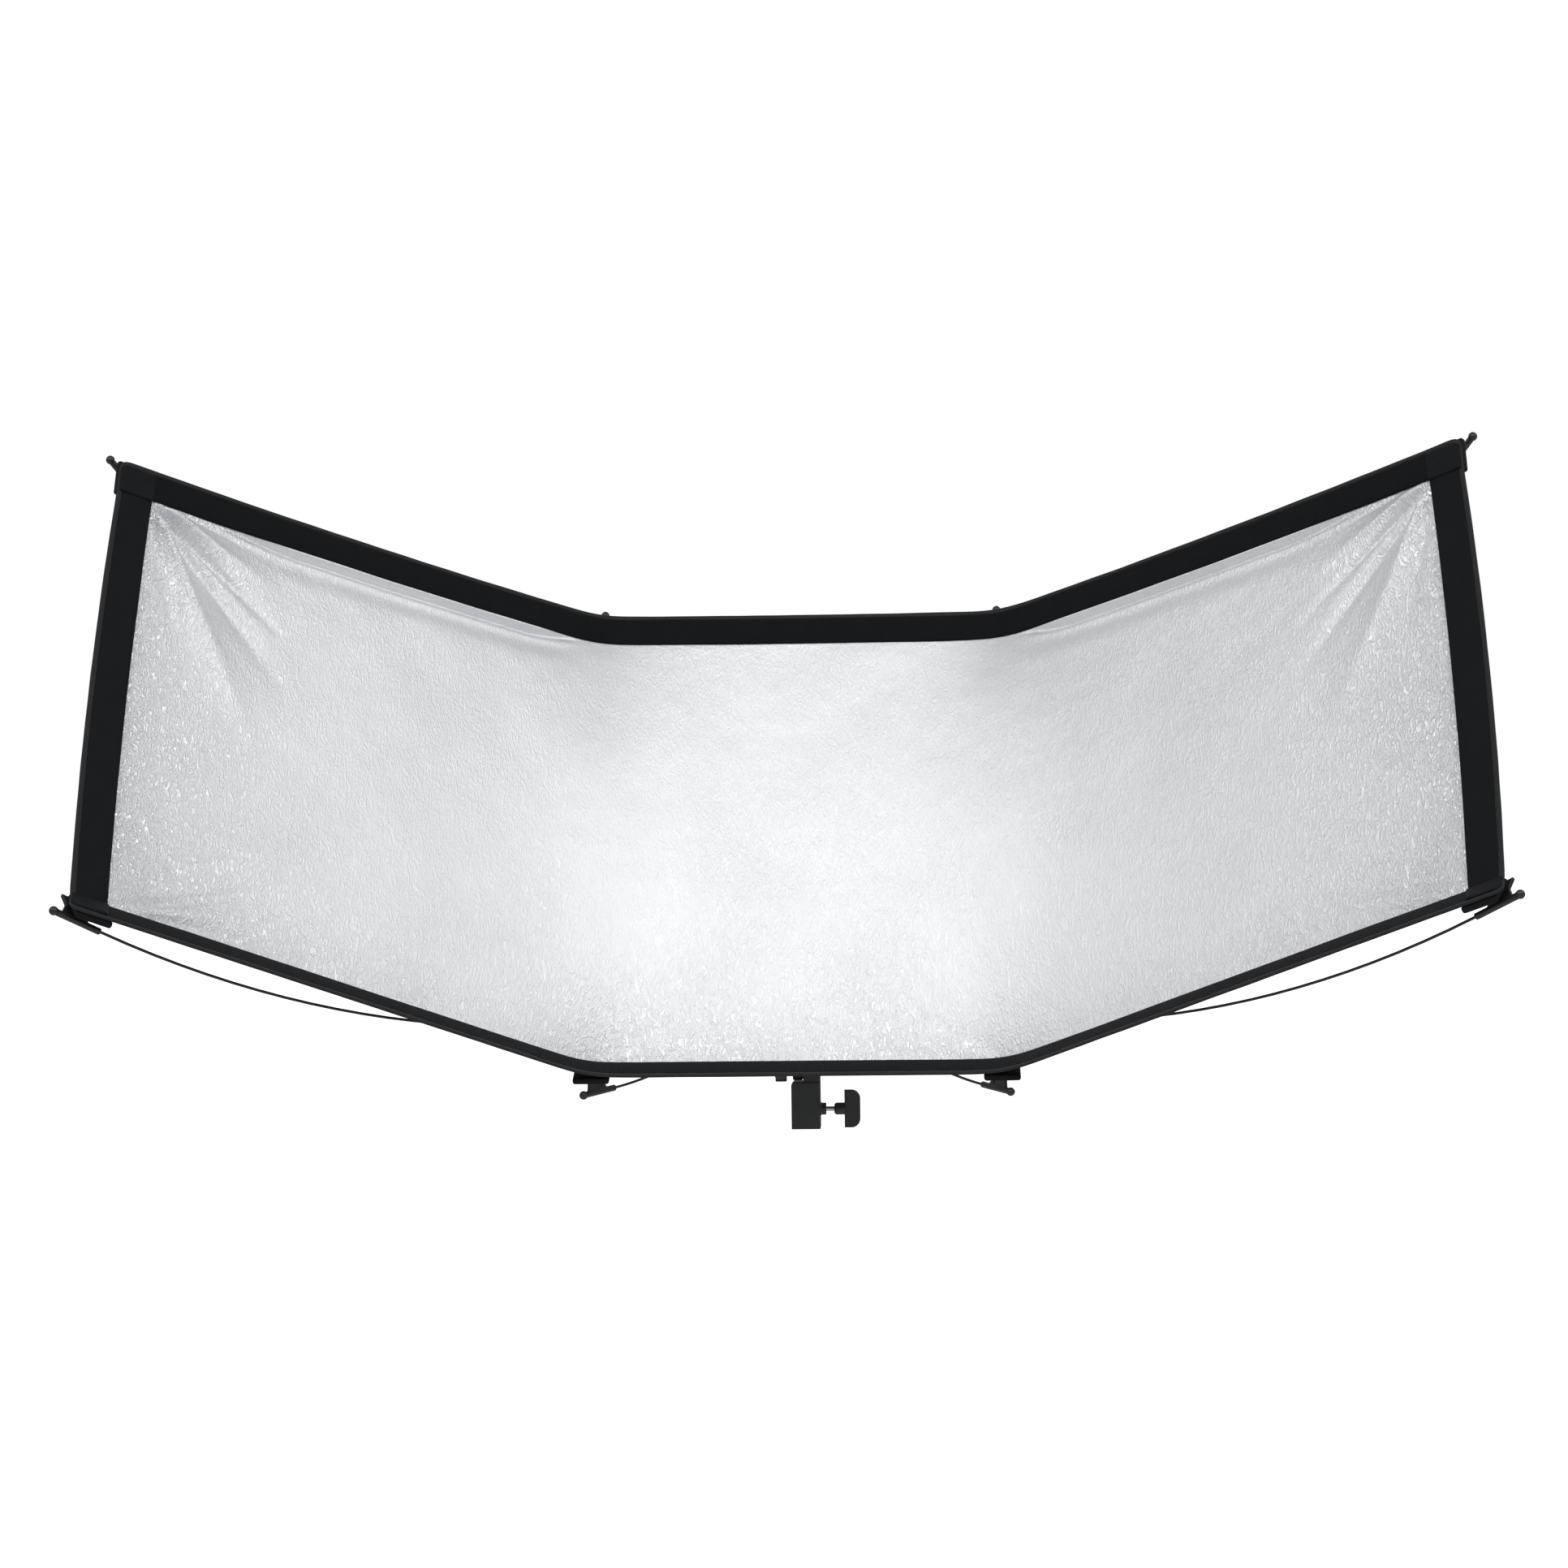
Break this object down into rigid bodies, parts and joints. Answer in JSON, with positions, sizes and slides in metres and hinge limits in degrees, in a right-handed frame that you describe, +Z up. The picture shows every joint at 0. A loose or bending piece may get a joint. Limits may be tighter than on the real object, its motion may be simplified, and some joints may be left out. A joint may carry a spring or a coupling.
{
  "type": "panel reflector",
  "caption": "Curved three-panel silver reflector on bowed spring rods from a rear hub, with a tilting stand bracket, clamp knob and stud socket.",
  "frame": {"origin": "centre of the stand socket's mouth, at the foot of the stand block", "axes": "+Z up along the stand's stud, -Y towards the silver face, +X to the right of someone who looks at that face"},
  "size_m": [1.5368, 0.703, 0.8115],
  "materials": {
    "moulding": "fine matt black moulding",
    "tip": "smooth black moulding, slightly glossy",
    "rod": "black coated spring rod",
    "steel": "plain bright steel",
    "brass": "turned brass",
    "liner": "plain drawn sleeve",
    "ferrule": "dull grey bush",
    "friction": "fibre friction disc",
    "cloth": "silver face with a fine crinkled grain, black back",
    "band": "black elastic webbing",
    "hem": "black rolled binding",
    "pocket": "black folded cloth"
  },
  "bodies": {
    "stand": {"stand_block": "moulding", "socket_liner": "liner", "boss_nut": "brass", "tilt_bolt": "steel", "tilt_disc": "friction"},
    "lock_clamp": {"lock_pad": "brass"},
    "lock_handle": {"lock_screw": "steel", "lock_knob": "moulding"},
    "tilt_clamp": {"tilt_washer": "steel"},
    "tilt_handle": {"tilt_knob": "moulding"},
    "reflector": {"arm_screws": "steel", "band_centre_bottom": "band", "band_centre_top": "band", "band_side_left": "band", "band_side_right": "band", "band_wing_bottom_left": "band", "band_wing_bottom_right": "band", "band_wing_top_left": "band", "band_wing_top_right": "band", "cloth_centre": "cloth", "cloth_wing_left": "cloth", "cloth_wing_right": "cloth", "hem_centre_bottom": "hem", "hem_centre_top": "hem", "hem_side_left": "hem", "hem_side_right": "hem", "hem_wing_bottom_left": "hem", "hem_wing_bottom_right": "hem", "hem_wing_top_left": "hem", "hem_wing_top_right": "hem", "hub_body": "moulding", "hub_cover": "moulding", "hub_screws": "steel", "pocket_inner_bottom_left": "pocket", "pocket_inner_bottom_right": "pocket", "pocket_inner_top_left": "pocket", "pocket_inner_top_right": "pocket", "pocket_outer_bottom_left": "pocket", "pocket_outer_bottom_right": "pocket", "pocket_outer_top_left": "pocket", "pocket_outer_top_right": "pocket", "rod_ferrules": "ferrule", "rod_inner_bottom_left": "rod", "rod_inner_bottom_right": "rod", "rod_inner_top_left": "rod", "rod_inner_top_right": "rod", "rod_outer_bottom_left": "rod", "rod_outer_bottom_right": "rod", "rod_outer_top_left": "rod", "rod_outer_top_right": "rod", "tilt_arm": "moulding", "tip_inner_bottom_left": "tip", "tip_inner_bottom_right": "tip", "tip_inner_top_left": "tip", "tip_inner_top_right": "tip", "tip_outer_bottom_left": "tip", "tip_outer_bottom_right": "tip", "tip_outer_top_left": "tip", "tip_outer_top_right": "tip"}
  },
  "joints": [
    {"name": "reflector_tilt", "type": "hinge", "parent": "stand", "child": "reflector", "pos_m": [0, 0, 0.075], "axis": [1, 0, 0], "range_deg": [-45, 45]},
    {"name": "lock_slide", "type": "slide", "parent": "stand", "child": "lock_clamp", "axis": [-1, 0, 0], "range_m": [-0.002, 0.0014]},
    {"name": "lock_turn", "type": "hinge", "parent": "lock_clamp", "child": "lock_handle", "pos_m": [0, 0, 0.0232], "axis": [-1, 0, 0], "range_deg": [-730, 510]},
    {"name": "tilt_clamp_slide", "type": "slide", "parent": "stand", "child": "tilt_clamp", "axis": [-1, 0, 0], "range_m": [0, 0.0025]},
    {"name": "tilt_knob_turn", "type": "hinge", "parent": "tilt_clamp", "child": "tilt_handle", "pos_m": [0, 0, 0.075], "axis": [-1, 0, 0], "range_deg": [0, 725]}
  ],
  "couplings": [
    {"joint": "lock_turn", "follows": "lock_slide", "rad_per_m": 6283.2},
    {"joint": "tilt_knob_turn", "follows": "tilt_clamp_slide", "rad_per_m": 5026.5}
  ]
}
